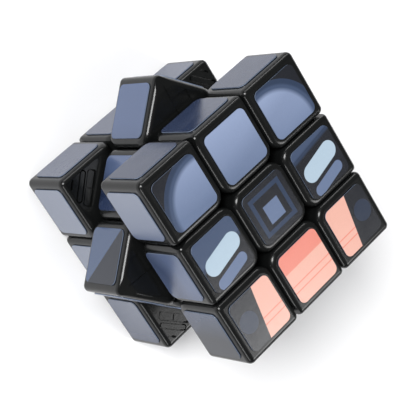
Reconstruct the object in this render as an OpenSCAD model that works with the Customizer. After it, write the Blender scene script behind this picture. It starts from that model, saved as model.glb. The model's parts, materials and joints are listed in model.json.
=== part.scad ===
// A 3 x 3 x 3 twist puzzle cube with a picture face, standing on the face opposite the picture.
// The middle layer rests part of the way through a turn about the upright axis.
// Compass words name the sides: east is +X, north is +Y, and the picture face is the top.
// Every block is drawn about the middle of the cube, and lifted() then stands the cube on the floor.

/* [Cube] */
// Width of the cube over its picture tiles
cube_width = 57; // [54:0.5:60]
// Thickness of the middle layer, between its two cut planes
middle_layer = 18.5; // [18:0.1:19]
// Free gap between two neighbouring blocks
block_gap = 0.2; // [0.1:0.05:0.4]
// Turn of the middle layer at rest, in degrees
middle_turn = 41.5; // [0:0.5:90]

/* [Blocks] */
// Rounding along every outer edge of a block
edge_round = 1.6; // [0.8:0.1:1.6]
// Rounding of the block corners that meet where four blocks come together
meeting_round = 4; // [3:0.25:5]
// Wall thickness of the hollow blocks
wall = 1.8; // [1.6:0.1:2.2]

/* [Tiles] */
// Width of a square picture tile
tile_width = 14.3; // [13:0.1:15]
// Corner rounding of a picture tile
tile_round = 1.7; // [1:0.1:2.5]
// Full thickness of a picture tile
tile_thickness = 0.8; // [0.6:0.1:1]
// Height of a tile above the plastic around it
tile_rise = 0.35; // [0.2:0.05:0.5]

/* [Mechanism] */
// Radius of the ball-shaped joint between the blocks and their feet
shell_radius = 21; // [20:0.1:21.5]
// Inner radius of the feet
foot_inner_radius = 14.5; // [13.5:0.1:15.5]
// Distance of the feet's side faces from the middle planes
foot_cut = 4.6; // [4.5:0.05:5]
// Outer radius of the tube that carries each centre block
stem_radius = 4.3; // [4:0.1:4.4]
// Radius of the screw shanks
screw_radius = 1.5; // [1.2:0.1:1.6]
// Turns of wire in each centre spring
spring_turns = 5; // [4:1:7]

/* [Hidden] */
$fn = 64;

plastic = [0.07, 0.07, 0.08];
foot_plastic = [0.16, 0.16, 0.17];
core_plastic = [0.55, 0.56, 0.58];
steel = [0.72, 0.73, 0.75];
print_blue = [0.5, 0.56, 0.7];

// Outer face of the plastic, and the two side planes of the blocks
face = cube_width / 2 - tile_rise;
inner = middle_layer / 2 + block_gap / 2;
middle = middle_layer / 2 - block_gap / 2;
outer_centre = (middle_layer / 2 + face) / 2;

// Play around the feet, and between the blocks and the joint's ball
play = block_gap / 2;

// Moulded details on the side faces of the blocks, with their distance from the turning axis
groove_depth = 1;
groove_width = 0.4;
window_distance = 30.75;
window_size = [2.6, 9.8];
window_round = 0.6;
window_slit = 0.3;
window_depth = 0.4;
half_window_length = 5.4;
near_slot_distance = 33.3;
near_slot_size = [1.9, 8.7];
far_slot_distance = 36;
far_slot_size = [0.6, 2.8];
lead_in_radius = 35;
lead_in_length = 6;
lead_in_angle = 10;
parting_width = 0.25;
parting_end = 37.2;

// How far a foot's stalk reaches into its block, beyond the joint's ball
stalk_reach = 3;

// Centre blocks, along their own axis
stem_start = 10.6;
stem_floor = 1.6;
stem_wall = 0.7;
cap_seam = face - 3.6;
cap_boss = 1.5;
cap_boss_wall = 1;

// Screws, washers and springs inside the centre blocks
washer_height = 0.6;
washer_seat = 18.6;
washer_radius = 3.3;
washer_play = 0.05;
screw_head_height = 2;
screw_head_radius = 2.8;
screw_start = 4.5;
recess_length = 3.2;
recess_width = 0.7;
recess_depth = 1;
wire_radius = 0.28;
coil_radius = 2.75;
wire_sides = 6;
turn_steps = 14;

// Hub in the middle of the cube
hub_radius = 7;
arm_radius = 3.4;
arm_end = stem_start - 0.3;
thread_play = 0.02;

// Rotations that bring Z onto Z, X and Y, keeping the three axes in the same order
WAYS = [[0, 0, 0], [90, 0, 90], [0, -90, -90]];

// How far a cutter reaches past what it cuts, and how far two parts of one solid run into each other
beyond = 1;
overlap = 0.1;

// ---------------------------------------------------------------- outlines

// What is cut off a square corner at the origin, which opens towards +x and +y, to round it
module corner_waste(radius)
{
    difference() {
        translate([-beyond, -beyond]) square(radius + beyond);
        translate([radius, radius]) circle(radius);
    }
}

// A rectangle from low to high, with one radius for each corner, counterclockwise from low
module rounded_outline(low, high, radii)
{
    difference() {
        translate(low) square(high - low);
        translate(low) corner_waste(radii[0]);
        translate([high.x, low.y]) rotate(90) corner_waste(radii[1]);
        translate(high) rotate(180) corner_waste(radii[2]);
        translate([low.x, high.y]) rotate(270) corner_waste(radii[3]);
    }
}

module round_square(width, radius)
{
    rounded_outline([-width / 2, -width / 2], [width / 2, width / 2], [radius, radius, radius, radius]);
}

// A strip with round ends, as wide as its x size and as long as its y size
module strip(size)
{
    straight = size.y - size.x;
    square([size.x, straight], center = true);
    for (end = [-1, 1]) translate([0, end * straight / 2]) circle(size.x / 2);
}

// The window outline, or the panel inside its groove
module window_panel(size)
{
    rounded_outline(-size / 2, size / 2, window_round * [1, 1, 1, 1]);
}

// ---------------------------------------------------------------- cutters shared by the blocks

// Rounds the rim where a meeting corner comes up to the face; at is the middle of that corner's arc
module meeting_rim(at, direction)
{
    translate([at.x, at.y, face]) rotate(direction) rotate_extrude(angle = 90)
        difference() {
            translate([meeting_round - edge_round, -edge_round]) square(edge_round + beyond);
            translate([meeting_round - edge_round, -edge_round]) circle(edge_round);
        }
}

// The shallow seat of a tile, in the face that looks along +Z
module tile_seat(at)
{
    translate([at.x, at.y, face + tile_rise - tile_thickness])
        linear_extrude(tile_thickness) round_square(tile_width + block_gap / 2, tile_round);
}

// Rounds a block's point, where three rounded edges meet, about the middle of that rounding
module point_rounding()
{
    difference() {
        cube(edge_round + beyond);
        sphere(edge_round);
    }
}

// The sunken window and the grooves moulded into each side face of a corner block
module corner_details()
{
    island = 2 * groove_width * [1, 1];
    rotate(45) {
        translate([window_distance, 0, inner - beyond]) {
            linear_extrude(beyond + window_depth) window_panel(window_size);
            linear_extrude(beyond + groove_depth) difference() {
                window_panel(window_size);
                difference() {
                    window_panel(window_size - island);
                    square([window_size.x, window_slit], center = true);
                }
            }
        }
        translate([near_slot_distance, 0, inner - beyond])
            linear_extrude(beyond + groove_depth) difference() {
                strip(near_slot_size);
                strip(near_slot_size - island);
            }
        translate([far_slot_distance, 0, inner - beyond])
            linear_extrude(beyond + groove_depth) strip(far_slot_size);
    }
}

// The sloping lead-in, the parting line and the half window on an end face of an edge block
module edge_details()
{
    drop = tan(lead_in_angle) * lead_in_length;
    lead_in_end = lead_in_radius + lead_in_length;
    rotate_extrude() polygon([
        [lead_in_radius, middle],
        [lead_in_end, middle - drop],
        [lead_in_end, middle + beyond],
        [lead_in_radius, middle + beyond]
    ]);
    rotate(45) {
        translate([shell_radius, -parting_width / 2, middle - parting_width])
            cube([parting_end - shell_radius, parting_width, beyond]);
        translate([window_distance - window_size.x / 2, -half_window_length, middle - window_depth])
            cube([window_size.x, half_window_length, beyond]);
    }
}

// ---------------------------------------------------------------- blocks in their first place

// Corner block of the +X +Y +Z corner
module corner_shell()
{
    rim = inner + meeting_round;
    difference() {
        intersection_for (way = WAYS) rotate(way) linear_extrude(face)
            rounded_outline([inner, inner], [face, face],
                [meeting_round, edge_round, edge_round, edge_round]);
        sphere(shell_radius);
        translate([1, 1, 1] * (inner + wall)) cube(face - inner - 2 * wall);
        translate([1, 1, 1] * (face - edge_round)) point_rounding();
        for (way = WAYS) rotate(way) {
            translate([face - edge_round, face - edge_round, inner + edge_round])
                mirror([0, 0, 1]) point_rounding();
            meeting_rim([rim, rim], 180);
            tile_seat([outer_centre, outer_centre]);
            corner_details();
        }
    }
}

// Edge block between the +X and +Y faces
module edge_shell()
{
    rim = inner + meeting_round;
    hollow = face - inner - 2 * wall;
    half_hollow = middle - wall;
    difference() {
        intersection() {
            translate([0, 0, -middle]) linear_extrude(2 * middle)
                rounded_outline([inner, inner], [face, face], edge_round * [1, 1, 1, 1]);
            rotate(WAYS[1]) linear_extrude(face)
                rounded_outline([inner, -middle], [face, middle],
                    [meeting_round, edge_round, edge_round, meeting_round]);
            rotate(WAYS[2]) linear_extrude(face)
                rounded_outline([-middle, inner], [middle, face],
                    [meeting_round, meeting_round, edge_round, edge_round]);
        }
        sphere(shell_radius);
        translate([inner + wall, inner + wall, -half_hollow]) cube([hollow, hollow, 2 * half_hollow]);
        rotate(WAYS[1]) {
            meeting_rim([rim, meeting_round - middle], 180);
            meeting_rim([rim, middle - meeting_round], 90);
            tile_seat([outer_centre, 0]);
        }
        rotate(WAYS[2]) {
            meeting_rim([meeting_round - middle, rim], 180);
            meeting_rim([middle - meeting_round, rim], 270);
            tile_seat([0, outer_centre]);
        }
        for (end = [0, 1]) mirror([0, 0, end]) {
            edge_details();
            translate([face - edge_round, face - edge_round, middle - edge_round]) point_rounding();
        }
    }
}

// Foot of the +X +Y +Z corner, with the stalk that plugs into its block
module corner_foot()
{
    stalk = inner + wall + play;
    difference() {
        union() {
            intersection() {
                sphere(shell_radius - 2 * play);
                translate([1, 1, 1] * (foot_cut + play)) cube(shell_radius);
            }
            intersection() {
                sphere(shell_radius + stalk_reach);
                translate([1, 1, 1] * stalk) cube(shell_radius);
            }
        }
        sphere(foot_inner_radius);
    }
}

// Foot of the edge between the +X and +Y faces, with the stalk that plugs into its block
module edge_foot()
{
    stalk = inner + wall + play;
    half_foot = foot_cut - play;
    difference() {
        union() {
            intersection() {
                sphere(shell_radius - 2 * play);
                translate([foot_cut + play, foot_cut + play, -half_foot])
                    cube([shell_radius, shell_radius, 2 * half_foot]);
            }
            intersection() {
                sphere(shell_radius + stalk_reach);
                translate([stalk, stalk, -half_foot]) cube([shell_radius, shell_radius, 2 * half_foot]);
            }
        }
        sphere(foot_inner_radius);
    }
}

// The outside of the centre block and its cap together, in the +Z face
module centre_outside()
{
    rim = middle - meeting_round;
    difference() {
        intersection() {
            linear_extrude(face) round_square(2 * middle, meeting_round);
            from_both_sides() rounded_outline([-middle, -face], [middle, face], edge_round * [1, 1, 1, 1]);
        }
        for (quarter = [0:3]) rotate(90 * quarter) meeting_rim([rim, rim], 0);
    }
}

// The crossing of one upright outline with itself, seen from the south and from the east
module from_both_sides()
{
    intersection_for (turn = [0, 90]) rotate(turn) rotate([90, 0, 0])
        linear_extrude(2 * (middle + beyond), center = true) children();
}

module centre_block()
{
    difference() {
        union() {
            difference() {
                intersection() {
                    centre_outside();
                    translate([-middle, -middle, 0]) cube([2 * middle, 2 * middle, cap_seam]);
                }
                sphere(shell_radius);
            }
            translate([0, 0, stem_start]) cylinder(h = cap_seam - stem_start - beyond, r = stem_radius);
        }
        translate([0, 0, stem_start + stem_floor]) cylinder(h = face, r = stem_radius - stem_wall);
        cylinder(h = face, r = screw_radius + block_gap);
    }
}

module centre_cap()
{
    room = 2 * (middle - wall);
    room_height = face - wall - cap_seam;
    boss_radius = stem_radius - stem_wall - play;
    difference() {
        union() {
            difference() {
                intersection() {
                    centre_outside();
                    translate([-middle, -middle, cap_seam]) cube([2 * middle, 2 * middle, face]);
                }
                translate([0, 0, cap_seam - beyond])
                    linear_extrude(room_height + beyond) round_square(room, meeting_round - wall);
            }
            translate([0, 0, cap_seam - cap_boss])
                cylinder(h = cap_boss + room_height + overlap, r = boss_radius);
        }
        translate([0, 0, cap_seam - cap_boss - beyond])
            cylinder(h = beyond + cap_boss + room_height, r = boss_radius - cap_boss_wall);
        tile_seat([0, 0]);
    }
}

module centre_screw()
{
    head = washer_seat + washer_height;
    difference() {
        union() {
            translate([0, 0, screw_start]) cylinder(h = head - screw_start + overlap, r = screw_radius);
            translate([0, 0, head]) cylinder(h = screw_head_height, r = screw_head_radius);
        }
        for (turn = [0, 90]) rotate(turn)
            translate([-recess_length / 2, -recess_width / 2, head + screw_head_height - recess_depth])
                cube([recess_length, recess_width, recess_depth + beyond]);
    }
}

module centre_washer()
{
    difference() {
        translate([0, 0, washer_seat]) cylinder(h = washer_height, r = washer_radius);
        translate([0, 0, washer_seat - beyond])
            cylinder(h = washer_height + 2 * beyond, r = screw_radius + washer_play);
    }
}

// One ring of points round the spring's wire, at a turn counted from its first end
function wire_ring(turn, start, rise) =
    [for (side = [0:wire_sides - 1])
        let (way_round = 360 * side / wire_sides, reach = coil_radius + wire_radius * cos(way_round))
        [
            reach * cos(360 * turn),
            reach * sin(360 * turn),
            start + rise * turn + wire_radius * sin(way_round)
        ]];

module centre_spring()
{
    floor_height = stem_start + stem_floor;
    start = floor_height + wire_radius;
    rise = (washer_seat - floor_height - 2 * wire_radius) / spring_turns;
    rings = spring_turns * turn_steps;
    points = [for (ring = [0:rings]) each wire_ring(ring / turn_steps, start, rise)];
    sides = [for (ring = [0:rings - 1], side = [0:wire_sides - 1])
        let (here = wire_sides * ring, after = here + wire_sides, next = (side + 1) % wire_sides)
        [here + side, here + next, after + next, after + side]];
    first_end = [for (side = [0:wire_sides - 1]) wire_sides - 1 - side];
    last_end = [for (side = [0:wire_sides - 1]) wire_sides * rings + side];
    polyhedron(points, concat([first_end], sides, [last_end]));
}

module tile()
{
    translate([0, 0, face + tile_rise - tile_thickness])
        linear_extrude(tile_thickness) round_square(tile_width, tile_round);
}

// ---------------------------------------------------------------- places in the cube

module lifted()
{
    translate([0, 0, cube_width / 2]) children();
}

module middle_turned()
{
    rotate(middle_turn) children();
}

// Moves something made for the +X +Y +Z corner to a corner of the top or bottom layer
module at_corner(quarter, level)
{
    mirror([0, 0, level < 0 ? 1 : 0]) rotate(90 * quarter) children();
}

// Moves something made for the edge between the +X and +Y faces to an edge of the top or bottom layer
module at_level_edge(quarter, level)
{
    mirror([0, 0, level < 0 ? 1 : 0]) rotate(90 * quarter) rotate(WAYS[1]) children();
}

// Moves something made for the +Z face to one of the four sides
module at_side(quarter)
{
    rotate(90 * quarter) rotate(WAYS[1]) children();
}

// Moves something made for the +Z face to the top or to the bottom
module at_level(level)
{
    mirror([0, 0, level < 0 ? 1 : 0]) children();
}

// The quarter says how many times the first place, north-east or north, is turned by 90 degrees
module level_corner(quarter, level)
{
    lifted() color(plastic) at_corner(quarter, level) corner_shell();
}

module level_edge(quarter, level)
{
    lifted() color(plastic) at_level_edge(quarter, level) edge_shell();
}

module middle_edge(quarter)
{
    lifted() color(plastic) middle_turned() rotate(90 * quarter) edge_shell();
}

module corner_feet(level)
{
    lifted() color(foot_plastic) for (quarter = [0:3]) at_corner(quarter, level) corner_foot();
}

module level_edge_feet(level)
{
    lifted() color(foot_plastic) for (quarter = [0:3]) at_level_edge(quarter, level) edge_foot();
}

module middle_edge_feet()
{
    lifted() color(foot_plastic) middle_turned()
        for (quarter = [0:3]) rotate(90 * quarter) edge_foot();
}

module level_centre(level) { lifted() color(plastic) at_level(level) centre_block(); }
module side_centre(quarter) { lifted() color(plastic) middle_turned() at_side(quarter) centre_block(); }
module level_cap(level) { lifted() color(plastic) at_level(level) centre_cap(); }
module side_cap(quarter) { lifted() color(plastic) middle_turned() at_side(quarter) centre_cap(); }
module level_spring(level) { lifted() color(steel) at_level(level) centre_spring(); }
module side_spring(quarter) { lifted() color(steel) middle_turned() at_side(quarter) centre_spring(); }

// Hub with six arms that the centre screws run into
module core()
{
    lifted() color(core_plastic) middle_turned() difference() {
        union() {
            sphere(hub_radius);
            for (way = WAYS) rotate(way) cylinder(h = 2 * arm_end, r = arm_radius, center = true);
        }
        for (way = WAYS, end = [0, 1]) rotate(way) mirror([0, 0, end])
            translate([0, 0, screw_start - beyond / 2]) cylinder(h = face, r = screw_radius + thread_play);
    }
}

module on_all_centres()
{
    middle_turned() {
        for (quarter = [0:3]) at_side(quarter) children();
        for (level = [-1, 1]) at_level(level) children();
    }
}

module centre_screws() { lifted() color(steel) on_all_centres() centre_screw(); }
module centre_washers() { lifted() color(steel) on_all_centres() centre_washer(); }

// The eight tiles round the centre of the top or bottom face
module face_tiles(level)
{
    lifted() color(print_blue) at_level(level)
        for (east = [-1:1], north = [-1:1])
            if (east != 0 || north != 0) translate([east * outer_centre, north * outer_centre, 0]) tile();
}

// The three tiles on each side of the top or bottom layer
module level_side_tiles(level)
{
    lifted() color(print_blue) for (quarter = [0:3]) at_side(quarter)
        for (place = [-1:1]) translate([place * outer_centre, level * outer_centre, 0]) tile();
}

// The two edge tiles on each side of the middle layer
module middle_side_tiles()
{
    lifted() color(print_blue) middle_turned() for (quarter = [0:3]) at_side(quarter)
        for (place = [-1, 1]) translate([place * outer_centre, 0, 0]) tile();
}

module level_centre_tile(level) { lifted() color(print_blue) at_level(level) tile(); }
module side_centre_tile(quarter) { lifted() color(print_blue) middle_turned() at_side(quarter) tile(); }

// ---------------------------------------------------------------- nodes

level_corner(0, 1);  // top_corner_ne
level_corner(1, 1);  // top_corner_nw
level_corner(2, 1);  // top_corner_sw
level_corner(3, 1);  // top_corner_se
level_corner(0, -1);  // bottom_corner_ne
level_corner(1, -1);  // bottom_corner_nw
level_corner(2, -1);  // bottom_corner_sw
level_corner(3, -1);  // bottom_corner_se
level_edge(0, 1);  // top_edge_n
level_edge(1, 1);  // top_edge_w
level_edge(2, 1);  // top_edge_s
level_edge(3, 1);  // top_edge_e
level_edge(0, -1);  // bottom_edge_n
level_edge(1, -1);  // bottom_edge_w
level_edge(2, -1);  // bottom_edge_s
level_edge(3, -1);  // bottom_edge_e
middle_edge(0);  // middle_edge_ne
middle_edge(1);  // middle_edge_nw
middle_edge(2);  // middle_edge_sw
middle_edge(3);  // middle_edge_se
corner_feet(1);  // top_corner_feet
corner_feet(-1);  // bottom_corner_feet
level_edge_feet(1);  // top_edge_feet
middle_edge_feet();
level_edge_feet(-1);  // bottom_edge_feet
level_centre(1);  // top_centre_block
level_centre(-1);  // bottom_centre_block
side_centre(0);  // east_centre_block
side_centre(1);  // north_centre_block
side_centre(2);  // west_centre_block
side_centre(3);  // south_centre_block
level_cap(1);  // top_centre_cap
level_cap(-1);  // bottom_centre_cap
side_cap(0);  // east_centre_cap
side_cap(1);  // north_centre_cap
side_cap(2);  // west_centre_cap
side_cap(3);  // south_centre_cap
core();
centre_screws();
centre_washers();
level_spring(1);  // top_spring
level_spring(-1);  // bottom_spring
side_spring(0);  // east_spring
side_spring(1);  // north_spring
side_spring(2);  // west_spring
side_spring(3);  // south_spring
face_tiles(1);  // top_face_tiles
level_side_tiles(1);  // top_side_tiles
middle_side_tiles();
face_tiles(-1);  // bottom_face_tiles
level_side_tiles(-1);  // bottom_side_tiles
level_centre_tile(1);  // top_centre_tile
level_centre_tile(-1);  // bottom_centre_tile
side_centre_tile(0);  // east_centre_tile
side_centre_tile(1);  // north_centre_tile
side_centre_tile(2);  // west_centre_tile
side_centre_tile(3);  // south_centre_tile
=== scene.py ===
"""Looks for the twist puzzle cube: materials, printed tiles, camera, light and floor.

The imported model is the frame: metres, +Z up along the turning axis, +X east, +Y north.
Lengths inside the tile prints are in millimetres, counted from the middle of a face.
"""

import json
import math

import bpy
from mathutils import Matrix, Vector

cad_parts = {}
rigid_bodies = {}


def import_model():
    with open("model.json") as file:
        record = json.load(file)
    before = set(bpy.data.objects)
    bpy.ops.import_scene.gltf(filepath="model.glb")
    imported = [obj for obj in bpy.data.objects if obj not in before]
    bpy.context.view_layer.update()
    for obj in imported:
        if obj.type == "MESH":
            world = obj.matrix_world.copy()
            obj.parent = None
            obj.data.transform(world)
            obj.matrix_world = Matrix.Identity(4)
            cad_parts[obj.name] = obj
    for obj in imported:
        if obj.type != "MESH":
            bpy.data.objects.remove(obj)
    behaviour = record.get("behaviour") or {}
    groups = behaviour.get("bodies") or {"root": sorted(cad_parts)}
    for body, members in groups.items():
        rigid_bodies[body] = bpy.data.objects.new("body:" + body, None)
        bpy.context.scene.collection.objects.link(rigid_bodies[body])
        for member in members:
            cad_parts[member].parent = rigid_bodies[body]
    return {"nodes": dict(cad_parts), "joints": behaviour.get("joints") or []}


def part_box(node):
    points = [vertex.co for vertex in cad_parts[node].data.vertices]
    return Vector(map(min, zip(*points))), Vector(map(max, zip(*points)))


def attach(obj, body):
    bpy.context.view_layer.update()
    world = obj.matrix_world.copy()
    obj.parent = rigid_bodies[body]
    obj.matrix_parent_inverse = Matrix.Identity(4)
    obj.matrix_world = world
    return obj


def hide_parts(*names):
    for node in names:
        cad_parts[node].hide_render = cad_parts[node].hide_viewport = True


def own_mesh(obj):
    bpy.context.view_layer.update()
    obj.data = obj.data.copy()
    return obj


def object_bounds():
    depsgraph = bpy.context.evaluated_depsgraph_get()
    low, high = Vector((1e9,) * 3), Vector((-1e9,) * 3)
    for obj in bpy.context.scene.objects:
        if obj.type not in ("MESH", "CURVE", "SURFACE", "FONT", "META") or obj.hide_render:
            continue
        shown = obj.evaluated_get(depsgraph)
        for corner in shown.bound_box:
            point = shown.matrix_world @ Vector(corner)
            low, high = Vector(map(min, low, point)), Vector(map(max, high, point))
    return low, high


for leftover in list(bpy.data.objects):
    bpy.data.objects.remove(leftover)

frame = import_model()
cad_low, cad_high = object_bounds()
nodes = frame["nodes"]

MM = 0.001

# The middle layer rests part of the way through a turn; its east centre slides along the turned axis.
east_axis = next(j["axis"] for j in frame["joints"] if j["name"] == "east_centre_spring_travel")
MIDDLE_TURN = math.atan2(east_axis[1], east_axis[0])

# Half the cube's width, and the distance between the middles of two tiles, in millimetres
cube_top = cad_high.z / MM
FACE = cube_top / 2
corner_low, corner_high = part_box("top_corner_ne")
PITCH = (corner_low.x + corner_high.x) / 2 / MM


# ---------------------------------------------------------------- colours

def paint(red, green, blue):
    """The linear colour of a paint that is named by its 0 to 255 display values."""
    def linear(level):
        share = level / 255
        return share / 12.92 if share <= 0.04045 else ((share + 0.055) / 1.055) ** 2.4
    return (linear(red), linear(green), linear(blue), 1)


BLUE = paint(97, 112, 141)
# Painted reflection: the pale northern part of the tiles' blue ground
PALE_BLUE_REFLECTION = paint(136, 150, 180)
DEEP_BLUE = paint(62, 76, 102)
SKY = paint(72, 86, 116)
SLATE = paint(44, 57, 80)
STORM = paint(31, 43, 69)
DUSK = paint(20, 26, 38)
CHARCOAL = paint(28, 30, 36)
HAZE = paint(116, 123, 139)
MIST = paint(70, 77, 96)
ICE = paint(165, 184, 199)
SALMON = paint(215, 129, 114)
LIGHT_SALMON = paint(218, 166, 151)
# Painted highlight: the pale band along the walls of the tiles
TILE_EDGE_HIGHLIGHT = paint(112, 124, 144)


# ---------------------------------------------------------------- formulas made of shader nodes

class Field:
    """A number that varies over a surface; arithmetic on it adds maths nodes to the material."""

    def __init__(self, tree, socket):
        self.tree = tree
        self.socket = socket

    def math(self, operation, *others, clamp=False):
        node = self.tree.nodes.new("ShaderNodeMath")
        node.operation = operation
        node.use_clamp = clamp
        for slot, value in zip(node.inputs, (self, *others)):
            if isinstance(value, Field):
                self.tree.links.new(value.socket, slot)
            else:
                slot.default_value = value
        return Field(self.tree, node.outputs[0])

    def __add__(self, other):
        return self.math("ADD", other)

    def __sub__(self, other):
        return self.math("SUBTRACT", other)

    def __rsub__(self, other):
        return -self + other

    def __mul__(self, other):
        return self.math("MULTIPLY", other)

    def __neg__(self):
        return self.math("MULTIPLY", -1)

    def __abs__(self):
        return self.math("ABSOLUTE")


def larger(a, b):
    return a.math("MAXIMUM", b)


def smaller(a, b):
    return a.math("MINIMUM", b)


def length(a, b):
    return (a * a + b * b).math("SQRT")


def inside(distance, edge=0.08):
    """1 where a signed distance is below zero, 0 where it is above, with an edge of that width."""
    return (distance * (-1 / edge)).math("ADD", 0.5, clamp=True)


def ramp(value, start, end):
    """0 up to start, 1 from end on, and a straight line between them."""
    return ((value - start) * (1 / (end - start))).math("MULTIPLY", 1, clamp=True)


def disc(u, v, at, radius):
    return length(u - at[0], v - at[1]) - radius


def bar(u, v, at, angle, half_length, half_width):
    """A straight bar with round ends, turned by an angle in degrees."""
    cosine = math.cos(math.radians(angle))
    sine = math.sin(math.radians(angle))
    x = u - at[0]
    y = v - at[1]
    past_end = larger(abs(x * cosine + y * sine) - (half_length - half_width), 0)
    return length(past_end, y * cosine - x * sine) - half_width


def square_ring(u, v, half):
    return larger(abs(u), abs(v)) - half


class Material:
    """A principled material under construction."""

    def __init__(self, name, roughness, **constants):
        self.material = bpy.data.materials.new(name)
        self.material.use_nodes = True
        self.tree = self.material.node_tree
        self.shader = self.tree.nodes["Principled BSDF"]
        self.shader.inputs["Roughness"].default_value = roughness
        for socket, value in constants.items():
            self.shader.inputs[socket.replace("_", " ")].default_value = value

    def add(self, kind, **settings):
        node = self.tree.nodes.new(kind)
        for name, value in settings.items():
            setattr(node, name, value)
        return node

    def join(self, output, slot):
        self.tree.links.new(output, slot)

    def place(self, turn=0.0):
        """Millimetre fields x, y and z on the body that the piece rides on, turned back by an angle."""
        spot = self.add("ShaderNodeTexCoord").outputs["Object"]
        if turn:
            rotate = self.add("ShaderNodeVectorRotate", rotation_type="Z_AXIS")
            self.join(spot, rotate.inputs["Vector"])
            rotate.inputs["Angle"].default_value = -turn
            spot = rotate.outputs[0]
        split = self.add("ShaderNodeSeparateXYZ")
        self.join(spot, split.inputs[0])
        x, y, z = (Field(self.tree, output) * (1 / MM) for output in split.outputs)
        return x, y, z - FACE

    def noise(self, scale, detail=2.0, roughness=0.5):
        spot = self.add("ShaderNodeTexCoord").outputs["Object"]
        node = self.add("ShaderNodeTexNoise")
        node.inputs["Scale"].default_value = scale
        node.inputs["Detail"].default_value = detail
        node.inputs["Roughness"].default_value = roughness
        self.join(spot, node.inputs["Vector"])
        return Field(self.tree, node.outputs[0])

    def mix(self, under, over, share):
        """Under where share is 0 and over where it is 1; colours are tuples or sockets."""
        node = self.add("ShaderNodeMix", data_type="RGBA")
        factor, first, second = node.inputs[0], node.inputs[6], node.inputs[7]
        self.join(share.socket, factor)
        for slot, colour in ((first, under), (second, over)):
            if isinstance(colour, bpy.types.NodeSocket):
                self.join(colour, slot)
            else:
                slot.default_value = colour
        return node.outputs[2]

    def colour(self, colour):
        slot = self.shader.inputs["Base Color"]
        if isinstance(colour, bpy.types.NodeSocket):
            self.join(colour, slot)
        else:
            slot.default_value = colour

    def vary_roughness(self, field, low, high):
        self.join((field * (high - low) + low).socket, self.shader.inputs["Roughness"])

    def bump(self, height, distance, strength=1.0):
        node = self.add("ShaderNodeBump")
        node.inputs["Strength"].default_value = strength
        node.inputs["Distance"].default_value = distance
        self.join(height.socket, node.inputs["Height"])
        self.join(node.outputs[0], self.shader.inputs["Normal"])


# ---------------------------------------------------------------- plastics and metals

# Scales of the noise patterns, in patches to the metre
MOTTLING = 260
FINGERPRINTS = 140
SINK_RIPPLE = 420
WORN_PATCHES = 900
RUBBED_PATCHES = 1500
DRAWING_MARKS = 2500

# Depths of the bumps in the plastics and metals
FINE_BUMP = 0.01 * MM
COARSE_BUMP = 0.03 * MM


def moulded_plastic(name, dark, light, roughness, ripple, ior=1.5):
    """Moulded plastic: faint mottling, fingerprints in the gloss, and a slight sink ripple."""
    made = Material(name, roughness, IOR=ior)
    made.colour(made.mix(dark, light, made.noise(MOTTLING, detail=4)))
    fingerprints = made.noise(FINGERPRINTS, detail=5, roughness=0.65)
    made.vary_roughness(fingerprints, roughness * 0.7, roughness * 1.35)
    made.bump(made.noise(SINK_RIPPLE, detail=3), ripple)
    return made.material


def drawn_metal(name, tone, roughness):
    """Bare metal with slightly worn and rubbed patches and fine drawing marks."""
    made = Material(name, roughness, Metallic=1.0)
    worn = tuple(channel * 0.7 for channel in tone[:3]) + (1,)
    made.colour(made.mix(worn, tone, made.noise(WORN_PATCHES, detail=3)))
    made.vary_roughness(made.noise(RUBBED_PATCHES, detail=2), roughness * 0.7, roughness * 1.4)
    made.bump(made.noise(DRAWING_MARKS), FINE_BUMP)
    return made.material


# ---------------------------------------------------------------- tile prints

def gradient_ground(made, u, v):
    """Blue-grey ground, lighter towards the north of the face, with a soft darker band across; its palest
    northern part is a painted reflection.
    """
    ground = made.mix(DEEP_BLUE, BLUE, ramp(v + u * 0.15, -26, 4))
    # Painted reflection: the ground turns pale towards the north, standing in for a softbox's reflection.
    ground = made.mix(ground, PALE_BLUE_REFLECTION, ramp(v + u * 0.12, 11, 25))
    band = inside(abs(v - u * 0.3 - 14) - 1, edge=8) * 0.2
    return made.mix(ground, DEEP_BLUE, band)


# The upper row's discs, with their rings: colour, how far out each starts, and how soft its edge is
DISC_AT = (13.2, 12.6)
DISC_RADIUS = 11.2
DISC_RINGS = ((DEEP_BLUE, 0, 1.2), (SLATE, 1.4, 0.6), (CHARCOAL, 2.8, 0.08))


def upper_discs(made, u, v, art):
    """The upper row: a disc with soft rings round it in each outer tile."""
    above = inside(-(v - PITCH / 2))
    for east in (-1, 1):
        beyond_disc = disc(u, v, (east * DISC_AT[0], DISC_AT[1]), DISC_RADIUS)
        outer_tile = inside(PITCH / 2 - u * east) * above
        for colour, start, softness in DISC_RINGS:
            art = made.mix(art, colour, inside(-beyond_disc + start, edge=softness) * outer_tile)
    return art


# The dark blue band in the middle row and its softer line, and the tilt of the row's bars in degrees
BAND_SLOPE = 0.12
BAND_START = 3.4
BAND_LINE = 3.0
BAND_LINE_HALF_WIDTH = 0.5
BAR_TILT = 12


def middle_row(made, u, v):
    """The middle row: charcoal under a dark blue band, with bars east and west of nested squares."""
    level = v - u * BAND_SLOPE
    row = made.mix(CHARCOAL, DEEP_BLUE, inside(-(level - BAND_START)))
    row = made.mix(row, SLATE, inside(abs(level - BAND_LINE) - BAND_LINE_HALF_WIDTH, edge=0.7))
    for at in (-PITCH, PITCH):
        small_bar = bar(u, v, at=(at, -5), angle=BAR_TILT, half_length=5.6, half_width=1.5)
        large_bar = bar(u, v, at=(at, 0.2), angle=BAR_TILT, half_length=6.4, half_width=2.5)
        row = made.mix(row, BLUE, inside(small_bar))
        row = made.mix(row, ICE, inside(large_bar))
    centre = made.mix(CHARCOAL, SLATE, inside(square_ring(u, v, half=5.6)))
    centre = made.mix(centre, CHARCOAL, inside(square_ring(u, v, half=4.4)))
    centre = made.mix(centre, BLUE, inside(square_ring(u, v + 0.8, half=2.6)))
    return made.mix(row, centre, inside(abs(u) - PITCH / 2))


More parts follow.
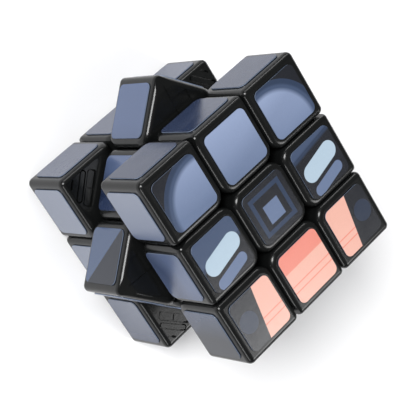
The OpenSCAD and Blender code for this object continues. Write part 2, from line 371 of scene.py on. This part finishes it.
# The lower row: where the middle tile changes colour, its two stripes, and the outer panels
COLOUR_SEAM = -16.5
STRIPES = (-20.4, -22.2)
STRIPE_HALF_WIDTH = 0.16
PANEL_EDGE = 18.4
PANEL_LEAN = 0.18
PANEL_DISC_AT = (22.6, -PITCH + 0.4)
PANEL_DISC_RADIUS = 2.9


def lower_row(made, u, v):
    """The lower row: salmon in the middle, and charcoal with a slate disc outside."""
    outward = abs(u)
    low = made.mix(SALMON, LIGHT_SALMON, inside(v - COLOUR_SEAM, edge=0.1))
    low = made.mix(low, LIGHT_SALMON, inside(PITCH / 2 - outward))
    first, second = (abs(v - level) - STRIPE_HALF_WIDTH for level in STRIPES)
    low = made.mix(low, SALMON, inside(smaller(first, second)))
    panel_disc = disc(outward, v, PANEL_DISC_AT, PANEL_DISC_RADIUS)
    panel = made.mix(CHARCOAL, SLATE, inside(panel_disc) * 0.55)
    leaning = abs(u - (v + PITCH) * PANEL_LEAN)
    return made.mix(low, panel, inside(PANEL_EDGE - leaning))


def picture_top(made, x, y, z):
    """The abstract picture: discs above, slanted bars round nested squares, salmon panels below."""
    art = upper_discs(made, x, y, gradient_ground(made, x, y))
    art = made.mix(art, middle_row(made, x, y), inside(abs(y) - PITCH / 2))
    return made.mix(art, lower_row(made, x, y), inside(y + PITCH / 2))


def side_places(x, y):
    """The level place along whichever side a point is on, and 1 on the north and south sides."""
    north_south = inside(FACE - 1 - abs(y), edge=0.2)
    return y + (x - y) * north_south, north_south


def picture_side(made, x, y, z):
    """Haze round the top and bottom layers that darkens to the south, with one wide arc in each side; the
    north and south sides are painted darker as shade.
    """
    u, north_south = side_places(x, y)
    lower = inside(z, edge=6)
    high_haze = made.mix(made.mix(DUSK, SKY, ramp(u, -20, -4)), HAZE, ramp(u, 2, 30))
    low_haze = made.mix(STORM, HAZE, ramp(u, -28, -4))
    east_west = made.mix(high_haze, low_haze, lower)
    # Painted shade: the north and south sides take darker colours than the east and west sides.
    art = made.mix(east_west, made.mix(STORM, MIST, lower), north_south)
    arc = disc(u, z, at=(-4, 4), radius=17)
    art = made.mix(art, MIST, inside(arc, edge=1.5) * 0.3)
    return made.mix(art, STORM, inside(abs(arc + 5) - 2.2, edge=4) * 0.4)


def picture_middle(made, x, y, z):
    """Blue tiles round the middle layer: on each side a dark wedge in one tile and a dip in the centre."""
    u, _ = side_places(x, y)
    art = made.mix(DEEP_BLUE, SKY, ramp(u, 6, 16))
    centre = inside(abs(u) - PITCH / 2)
    art = made.mix(art, SKY, centre * ramp(u, -3, 3))
    art = made.mix(art, STORM, centre * ramp(u, 3, -3))
    wedge = larger((u + PITCH) * 0.85 - z, u + PITCH / 2)
    return made.mix(art, DUSK, inside(wedge, edge=0.3))


# Depths below a tile's outer face at which the print ends, and the painted highlight along the tile's wall
# under it ends; deeper down the wall is painted dark as shade
PRINT_EDGE = 0.05
EDGE_HIGHLIGHT_END = 0.22
SHARP = 0.03

# Noise in the tiles, in patches to the metre: print grain, smears in the gloss, and low waves
PRINT_GRAIN = 3200
SMEARS = 170
WAVES = 700
WAVE_HEIGHT = 0.012 * MM


def printed_tile(name, draw, turn=0.0):
    """A glossy tile: the print on its outer face, a painted highlight along its wall over painted shade,
    slightly uneven.
    """
    made = Material(name, roughness=0.2, IOR=1.5)
    x, y, z = made.place(turn)
    art = draw(made, x, y, z)
    art = made.mix(art, CHARCOAL, made.noise(PRINT_GRAIN, detail=1) * 0.08)
    depth = FACE - larger(larger(abs(x), abs(y)), abs(z))
    # Painted highlight: a pale band on the tile's wall just under the print.
    art = made.mix(art, TILE_EDGE_HIGHLIGHT, inside(PRINT_EDGE - depth, edge=SHARP))
    # Painted shade: the wall below that band is darkened as if it were in the gap's shadow.
    art = made.mix(art, DUSK, inside(EDGE_HIGHLIGHT_END - depth, edge=SHARP))
    made.colour(art)
    made.vary_roughness(made.noise(SMEARS, detail=4), 0.16, 0.3)
    made.bump(made.noise(WAVES, detail=2), WAVE_HEIGHT)
    return made.material


def picture_bottom(made, x, y, z):
    """The ground of the picture with one plain disc in the middle."""
    art = gradient_ground(made, x, y)
    middle_disc = disc(x, y, at=(0, 0), radius=19)
    return made.mix(art, SLATE, inside(middle_disc, edge=1) * 0.5)


# ---------------------------------------------------------------- materials onto the nodes

BLACK = paint(12, 13, 13)
BLACK_LIGHT = paint(19, 20, 20)
FOOT_GREY = paint(30, 30, 32)
FOOT_LIGHT = paint(42, 42, 45)
CORE_GREY = paint(150, 153, 158)
CORE_LIGHT = paint(165, 168, 174)
SCREW_GREY = paint(190, 191, 194)
WIRE_GREY = paint(175, 176, 180)

black_plastic = moulded_plastic("black_plastic", BLACK, BLACK_LIGHT, 0.22, FINE_BUMP, ior=1.38)
foot_plastic = moulded_plastic("foot_plastic", FOOT_GREY, FOOT_LIGHT, 0.42, COARSE_BUMP)
core_plastic = moulded_plastic("core_plastic", CORE_GREY, CORE_LIGHT, 0.45, COARSE_BUMP)
screw_steel = drawn_metal("screw_steel", SCREW_GREY, 0.3)
spring_steel = drawn_metal("spring_steel", WIRE_GREY, 0.24)
top_print = printed_tile("top_print", picture_top)
bottom_print = printed_tile("bottom_print", picture_bottom)
side_print = printed_tile("side_print", picture_side)
middle_print = printed_tile("middle_print", picture_middle, MIDDLE_TURN)

TILE_BEVEL = 0.18 * MM
WELD_REACH = 0.001 * MM
SHARP_ANGLE = 60


def soften_tile(piece):
    """Welds the split mesh and rounds the tile's sharp edges a little."""
    weld = piece.modifiers.new("weld", "WELD")
    weld.merge_threshold = WELD_REACH
    bevel = piece.modifiers.new("bevel", "BEVEL")
    bevel.width = TILE_BEVEL
    bevel.segments = 2
    bevel.limit_method = "ANGLE"
    bevel.angle_limit = math.radians(SHARP_ANGLE)


def material_for(name):
    """The material of a CAD node, by the node's name."""
    if name.startswith("top_face") or name == "top_centre_tile":
        return top_print
    if name.startswith("bottom_face") or name == "bottom_centre_tile":
        return bottom_print
    if name.startswith("middle_side") or name.endswith("centre_tile"):
        return middle_print
    if name.endswith("side_tiles"):
        return side_print
    if name.endswith("feet"):
        return foot_plastic
    if name == "core":
        return core_plastic
    if name.endswith("spring"):
        return spring_steel
    if name in ("centre_screws", "centre_washers"):
        return screw_steel
    return black_plastic


for name, piece in nodes.items():
    piece.data.materials.clear()
    piece.data.materials.append(material_for(name))
    if "tile" in name:
        soften_tile(piece)


# ---------------------------------------------------------------- springs

# The wire and its turns, and the share of the wire that lies flat at each end
WIRE_RADIUS = 0.28 * MM
SPRING_TURNS = 5
FLAT_SHARE = 0.12
STEPS_PER_TURN = 30
WIRE_SIDES = 10
RINGS = SPRING_TURNS * STEPS_PER_TURN

# Each spring fills the box of the CAD spring, between these two distances from the cube's middle
cube_middle = Vector((0, 0, FACE * MM))
spring_low, spring_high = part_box("top_spring")
NEAR_END = spring_low.z - cube_middle.z
FAR_END = spring_high.z - cube_middle.z
COIL_RADIUS = spring_high.x - WIRE_RADIUS


def coil_points():
    """Rings of points round the wire of a coil along +Z that lies flat at both ends."""
    rise = FAR_END - NEAR_END - 2 * WIRE_RADIUS
    points = []
    for ring in range(RINGS + 1):
        share = (ring / RINGS - FLAT_SHARE) / (1 - 2 * FLAT_SHARE)
        height = NEAR_END + WIRE_RADIUS + rise * min(max(share, 0), 1)
        turn = math.tau * ring / STEPS_PER_TURN
        for side in range(WIRE_SIDES):
            way_round = math.tau * side / WIRE_SIDES
            reach = COIL_RADIUS + WIRE_RADIUS * math.cos(way_round)
            level = height + WIRE_RADIUS * math.sin(way_round)
            points.append((reach * math.cos(turn), reach * math.sin(turn), level))
    return points


def coil_faces():
    """The faces between neighbouring rings, and one across each end of the wire."""
    first_end = tuple(range(WIRE_SIDES))
    last_end = tuple(reversed(range(RINGS * WIRE_SIDES, (RINGS + 1) * WIRE_SIDES)))
    faces = [first_end, last_end]
    for ring in range(RINGS):
        here = ring * WIRE_SIDES
        beyond = here + WIRE_SIDES
        for side in range(WIRE_SIDES):
            after = (side + 1) % WIRE_SIDES
            faces.append((here + side, beyond + side, beyond + after, here + after))
    return faces


def centre_spring(side):
    """A smooth wire spring along the centre block's axis, riding on the core in place of the CAD spring.
    """
    joint = next(j for j in frame["joints"] if j["name"] == side + "_centre_spring_travel")
    axis = Vector(joint["axis"])
    mesh = bpy.data.meshes.new(side + "_coil")
    mesh.from_pydata(coil_points(), [], coil_faces())
    mesh.transform(Matrix.Translation(cube_middle) @ axis.to_track_quat("Z", "Y").to_matrix().to_4x4())
    mesh.shade_smooth()
    mesh.materials.append(spring_steel)
    piece = bpy.data.objects.new(side + "_coil", mesh)
    bpy.context.scene.collection.objects.link(piece)
    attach(piece, "core_and_middle_layer")
    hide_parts(side + "_spring")
    travel = joint["range_m"][1]
    1 - travel / (FAR_END - NEAR_END)
    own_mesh(piece)


for side in ("top", "bottom", "east", "north", "west", "south"):
    centre_spring(side)


# ---------------------------------------------------------------- camera

CAMERA_AZIMUTH = 229.73
CAMERA_ELEVATION = 55.44
CAMERA_ROLL = 93.01
CAMERA_DISTANCE = 390.5 * MM
AIM_RIGHT = 0.05 * MM
AIM_UP = -1.02 * MM
LENS = 128
SENSOR = 36
NEAREST = 0.01
FARTHEST = 20


def toward(azimuth, elevation):
    """Unit vector from the cube towards a viewer at that azimuth and elevation, in degrees."""
    turn = math.radians(azimuth)
    rise = math.radians(elevation)
    return Vector((math.sin(turn) * math.cos(rise), -math.cos(turn) * math.cos(rise), math.sin(rise)))


def facing(direction):
    """Rotation of a camera or light that looks along a direction."""
    return direction.to_track_quat("-Z", "Y").to_matrix().to_4x4()


back = toward(CAMERA_AZIMUTH, CAMERA_ELEVATION)
turned = facing(-back) @ Matrix.Rotation(math.radians(CAMERA_ROLL), 4, "Z")
right, up = turned.col[0].to_3d(), turned.col[1].to_3d()
camera_data = bpy.data.cameras.new("camera")
camera_data.lens = LENS
camera_data.sensor_width = SENSOR
camera_data.clip_start = NEAREST
camera_data.clip_end = FARTHEST
camera = bpy.data.objects.new("camera", camera_data)
camera.matrix_world = (
    Matrix.Translation(cube_middle + back * CAMERA_DISTANCE + right * AIM_RIGHT + up * AIM_UP) @ turned
)
bpy.context.scene.collection.objects.link(camera)
bpy.context.scene.camera = camera


# ---------------------------------------------------------------- floor and light

FLOOR_REACH = 3
FLOOR_SHADE = paint(241, 241, 242)
FLOOR_LIGHT = paint(245, 245, 246)
FLOOR_CLOUDS = 8


def floor():
    """A plain pale floor under the cube."""
    corners = [(-1, -1), (1, -1), (1, 1), (-1, 1)]
    mesh = bpy.data.meshes.new("floor")
    mesh.from_pydata([(x * FLOOR_REACH, y * FLOOR_REACH, 0) for x, y in corners], [], [(0, 1, 2, 3)])
    made = Material("floor_paint", roughness=0.8)
    made.colour(made.mix(FLOOR_SHADE, FLOOR_LIGHT, made.noise(FLOOR_CLOUDS)))
    mesh.materials.append(made.material)
    piece = bpy.data.objects.new("floor", mesh)
    bpy.context.scene.collection.objects.link(piece)


def hang(name, data, direction, distance):
    """Places a light in a direction from the cube, looking back at it."""
    lamp = bpy.data.objects.new(name, data)
    aim = direction.normalized()
    lamp.matrix_world = Matrix.Translation(cube_middle + aim * distance) @ facing(-aim)
    bpy.context.scene.collection.objects.link(lamp)


def softbox(name, direction, distance, width, height, brightness):
    """A softbox that looks at the cube; brightness is in times the white of the background."""
    data = bpy.data.lights.new(name, "AREA")
    data.shape = "RECTANGLE"
    data.size = width
    data.size_y = height
    data.energy = brightness * math.pi * width * height
    hang(name, data, direction, distance)


def far_key(direction, strength, spread):
    """The main light, far enough away to light the whole floor evenly; spread is its width in degrees."""
    data = bpy.data.lights.new("key", "SUN")
    data.energy = strength
    data.angle = math.radians(spread)
    hang("key", data, direction, 1)


def studio(light, seen):
    """An even white room: light is what falls on the cube, and seen is what the camera looks at."""
    world = bpy.data.worlds.new("studio")
    world.use_nodes = True
    tree = world.node_tree
    path = tree.nodes.new("ShaderNodeLightPath")
    strength = tree.nodes.new("ShaderNodeMapRange")
    strength.inputs["To Min"].default_value = light
    strength.inputs["To Max"].default_value = seen
    tree.links.new(path.outputs["Is Camera Ray"], strength.inputs["Value"])
    tree.links.new(strength.outputs[0], tree.nodes["Background"].inputs["Strength"])
    tree.nodes["Background"].inputs["Color"].default_value = (1, 1, 1, 1)
    bpy.context.scene.world = world


# Directions from the cube to its lights: the rim and side lights glint along the rounded edges
KEY_FROM = Vector((-0.43, 0.57, 0.66))
RIM_FROM = Vector((0.43, 0.82, 0.37))
SIDE_FROM = Vector((-0.82, -0.37, 0.43))
FILL_FROM = Vector((0.31, -0.64, 0.7))

floor()
far_key(KEY_FROM, strength=3.8, spread=26)
softbox("rim", RIM_FROM, distance=0.6, width=0.5, height=0.08, brightness=9)
softbox("side", SIDE_FROM, distance=0.6, width=0.3, height=0.08, brightness=10)
softbox("fill", FILL_FROM, distance=0.8, width=0.3, height=0.3, brightness=8)
studio(light=0.16, seen=1)
bpy.context.scene.view_settings.view_transform = "Standard"
